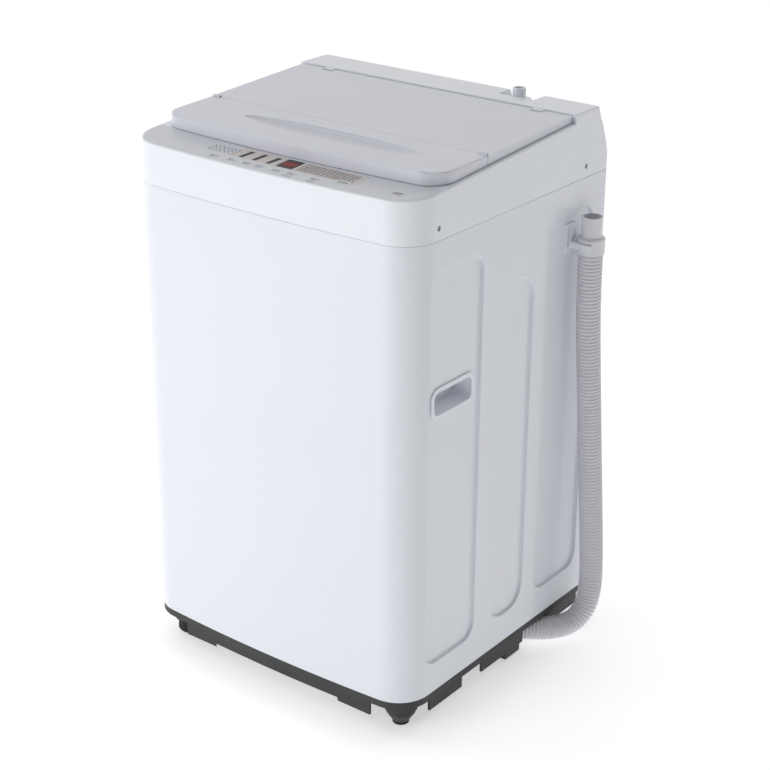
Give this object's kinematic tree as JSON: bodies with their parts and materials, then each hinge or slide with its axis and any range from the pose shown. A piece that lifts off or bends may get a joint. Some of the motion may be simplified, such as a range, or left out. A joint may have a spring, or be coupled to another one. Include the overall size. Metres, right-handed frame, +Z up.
{
  "type": "top load washing machine",
  "caption": "Top loading washing machine with a folding two-part lid, sloped key panel, hanging tub, spin basket and corrugated side drain hose.",
  "frame": {"origin": "on the floor, below the centre of the cabinet", "axes": "+X the machine's right side seen from the front, +Y the back, +Z up"},
  "size_m": [0.5909, 0.5158, 0.897],
  "materials": {
    "cabinet_white": "gloss white powder coat",
    "frame_white": "satin white moulded plastic",
    "lid_grey": "fine-grained pale grey plastic",
    "base_grey": "dark grey moulded plastic",
    "panel_film": "printed pale film",
    "display_dark": "dark red smoked window",
    "key_film": "printed key cap",
    "board_green": "circuit board laminate",
    "hose_grey": "pale grey corrugated plastic",
    "steel": "plated steel",
    "stainless": "stainless steel sheet",
    "tub_plastic": "white polypropylene",
    "grey_plastic": "grey plastic",
    "rubber_black": "black rubber",
    "cast_grey": "die cast aluminium",
    "nylon_white": "natural nylon"
  },
  "bodies": {
    "cabinet": {"cabinet_shell": "cabinet_white", "grip_plates": "cabinet_white", "side_grips": "frame_white", "rear_panel": "cabinet_white", "cord_gland": "rubber_black", "cabinet_screws": "steel", "base_frame": "base_grey", "fixed_feet": "rubber_black", "top_frame": "frame_white", "rear_housing": "frame_white", "rear_cover": "frame_white", "lid_switch": "grey_plastic", "control_fascia": "panel_film", "display_window": "display_dark", "control_board": "board_green", "inlet_valve": "frame_white", "water_level_sensor": "grey_plastic", "suspension_brackets": "steel", "suspension_rods": "steel", "drain_hose": "hose_grey", "hose_cuff": "hose_grey", "hose_clip": "frame_white", "hose_outlet": "grey_plastic", "drain_duct": "rubber_black"},
    "tub": {"outer_tub": "tub_plastic", "tub_cover": "tub_plastic", "spin_bearings": "steel", "shaft_seal": "rubber_black", "drive_plate": "steel", "gearcase": "cast_grey", "motor": "steel", "drain_valve": "grey_plastic", "drain_actuator": "grey_plastic", "drive_belt": "rubber_black", "suspension_cups": "nylon_white", "suspension_springs": "steel"},
    "basket": {"basket_drum": "stainless", "basket_floor": "tub_plastic", "balance_ring": "grey_plastic", "lint_filter": "nylon_white", "spin_shaft": "steel"},
    "pulsator_unit": {"pulsator": "tub_plastic", "agitate_shaft": "steel", "pulsator_screw": "steel"},
    "pulley": {"driven_pulley": "cast_grey"},
    "rotor": {"motor_pulley": "cast_grey"},
    "rear_lid": {"lid_rear": "lid_grey", "lid_pins": "steel"},
    "front_lid": {"lid_front": "lid_grey"},
    "pad": {"foot_pad": "rubber_black"},
    "knob": {"foot_knob": "base_grey"},
    "function_key_1_body": {"function_key_1": "key_film"},
    "function_key_2_body": {"function_key_2": "key_film"},
    "function_key_3_body": {"function_key_3": "key_film"},
    "function_key_4_body": {"function_key_4": "key_film"},
    "function_key_5_body": {"function_key_5": "key_film"},
    "function_key_6_body": {"function_key_6": "key_film"},
    "function_key_7_body": {"function_key_7": "key_film"},
    "start_key_body": {"start_key": "key_film"},
    "power_key_body": {"power_key": "key_film"}
  },
  "joints": [
    {"name": "tub_bounce", "type": "slide", "parent": "cabinet", "child": "tub", "axis": [0, 0, 1], "range_m": [-0.03, 0.006], "stiffness_N_per_m": 14000, "springref_m": 0.01372, "deforming": ["suspension_springs", "drain_duct"]},
    {"name": "basket_spin", "type": "hinge", "parent": "tub", "child": "basket", "pos_m": [0, 0, 0.3], "axis": [0, 0, 1], "continuous": true},
    {"name": "pulsator_spin", "type": "hinge", "parent": "tub", "child": "pulsator_unit", "pos_m": [0, 0, 0.25], "axis": [0, 0, 1], "continuous": true},
    {"name": "pulley_spin", "type": "hinge", "parent": "tub", "child": "pulley", "pos_m": [0, 0, 0.1], "axis": [0, 0, 1], "continuous": true},
    {"name": "motor_spin", "type": "hinge", "parent": "tub", "child": "rotor", "pos_m": [-0.125, 0, 0.1], "axis": [0, 0, 1], "continuous": true},
    {"name": "rear_lid_hinge", "type": "hinge", "parent": "cabinet", "child": "rear_lid", "pos_m": [0, 0.148, 0.883], "axis": [-1, 0, 0], "range_deg": [0, 95]},
    {"name": "lid_fold", "type": "hinge", "parent": "rear_lid", "child": "front_lid", "pos_m": [0, -0.066, 0.876], "axis": [-1, 0, 0], "range_deg": [0, 165]},
    {"name": "foot_lift", "type": "slide", "parent": "cabinet", "child": "pad", "axis": [0, 0, -1], "range_m": [0, 0.012]},
    {"name": "foot_turn", "type": "hinge", "parent": "pad", "child": "knob", "pos_m": [0.22, -0.201, 0.02], "axis": [0, 0, 1], "range_deg": [0, 2880]},
    {"name": "function_key_1_press", "type": "slide", "parent": "cabinet", "child": "function_key_1_body", "axis": [0, 0, -1], "range_m": [0, 0.0008], "stiffness_N_per_m": 600, "springref_m": -0.0004},
    {"name": "function_key_2_press", "type": "slide", "parent": "cabinet", "child": "function_key_2_body", "axis": [0, 0, -1], "range_m": [0, 0.0008], "stiffness_N_per_m": 600, "springref_m": -0.0004},
    {"name": "function_key_3_press", "type": "slide", "parent": "cabinet", "child": "function_key_3_body", "axis": [0, 0, -1], "range_m": [0, 0.0008], "stiffness_N_per_m": 600, "springref_m": -0.0004},
    {"name": "function_key_4_press", "type": "slide", "parent": "cabinet", "child": "function_key_4_body", "axis": [0, 0, -1], "range_m": [0, 0.0008], "stiffness_N_per_m": 600, "springref_m": -0.0004},
    {"name": "function_key_5_press", "type": "slide", "parent": "cabinet", "child": "function_key_5_body", "axis": [0, 0, -1], "range_m": [0, 0.0008], "stiffness_N_per_m": 600, "springref_m": -0.0004},
    {"name": "function_key_6_press", "type": "slide", "parent": "cabinet", "child": "function_key_6_body", "axis": [0, 0, -1], "range_m": [0, 0.0008], "stiffness_N_per_m": 600, "springref_m": -0.0004},
    {"name": "function_key_7_press", "type": "slide", "parent": "cabinet", "child": "function_key_7_body", "axis": [0, 0, -1], "range_m": [0, 0.0008], "stiffness_N_per_m": 600, "springref_m": -0.0004},
    {"name": "start_key_press", "type": "slide", "parent": "cabinet", "child": "start_key_body", "axis": [0, 0, -1], "range_m": [0, 0.0008], "stiffness_N_per_m": 600, "springref_m": -0.0004},
    {"name": "power_key_press", "type": "slide", "parent": "cabinet", "child": "power_key_body", "axis": [0, 0, -1], "range_m": [0, 0.0008], "stiffness_N_per_m": 600, "springref_m": -0.0004}
  ],
  "couplings": [
    {"joint": "pulley_spin", "follows": "pulsator_spin", "ratio": 5},
    {"joint": "motor_spin", "follows": "pulsator_spin", "ratio": 17.948},
    {"joint": "foot_turn", "follows": "foot_lift", "rad_per_m": 4188.7}
  ]
}
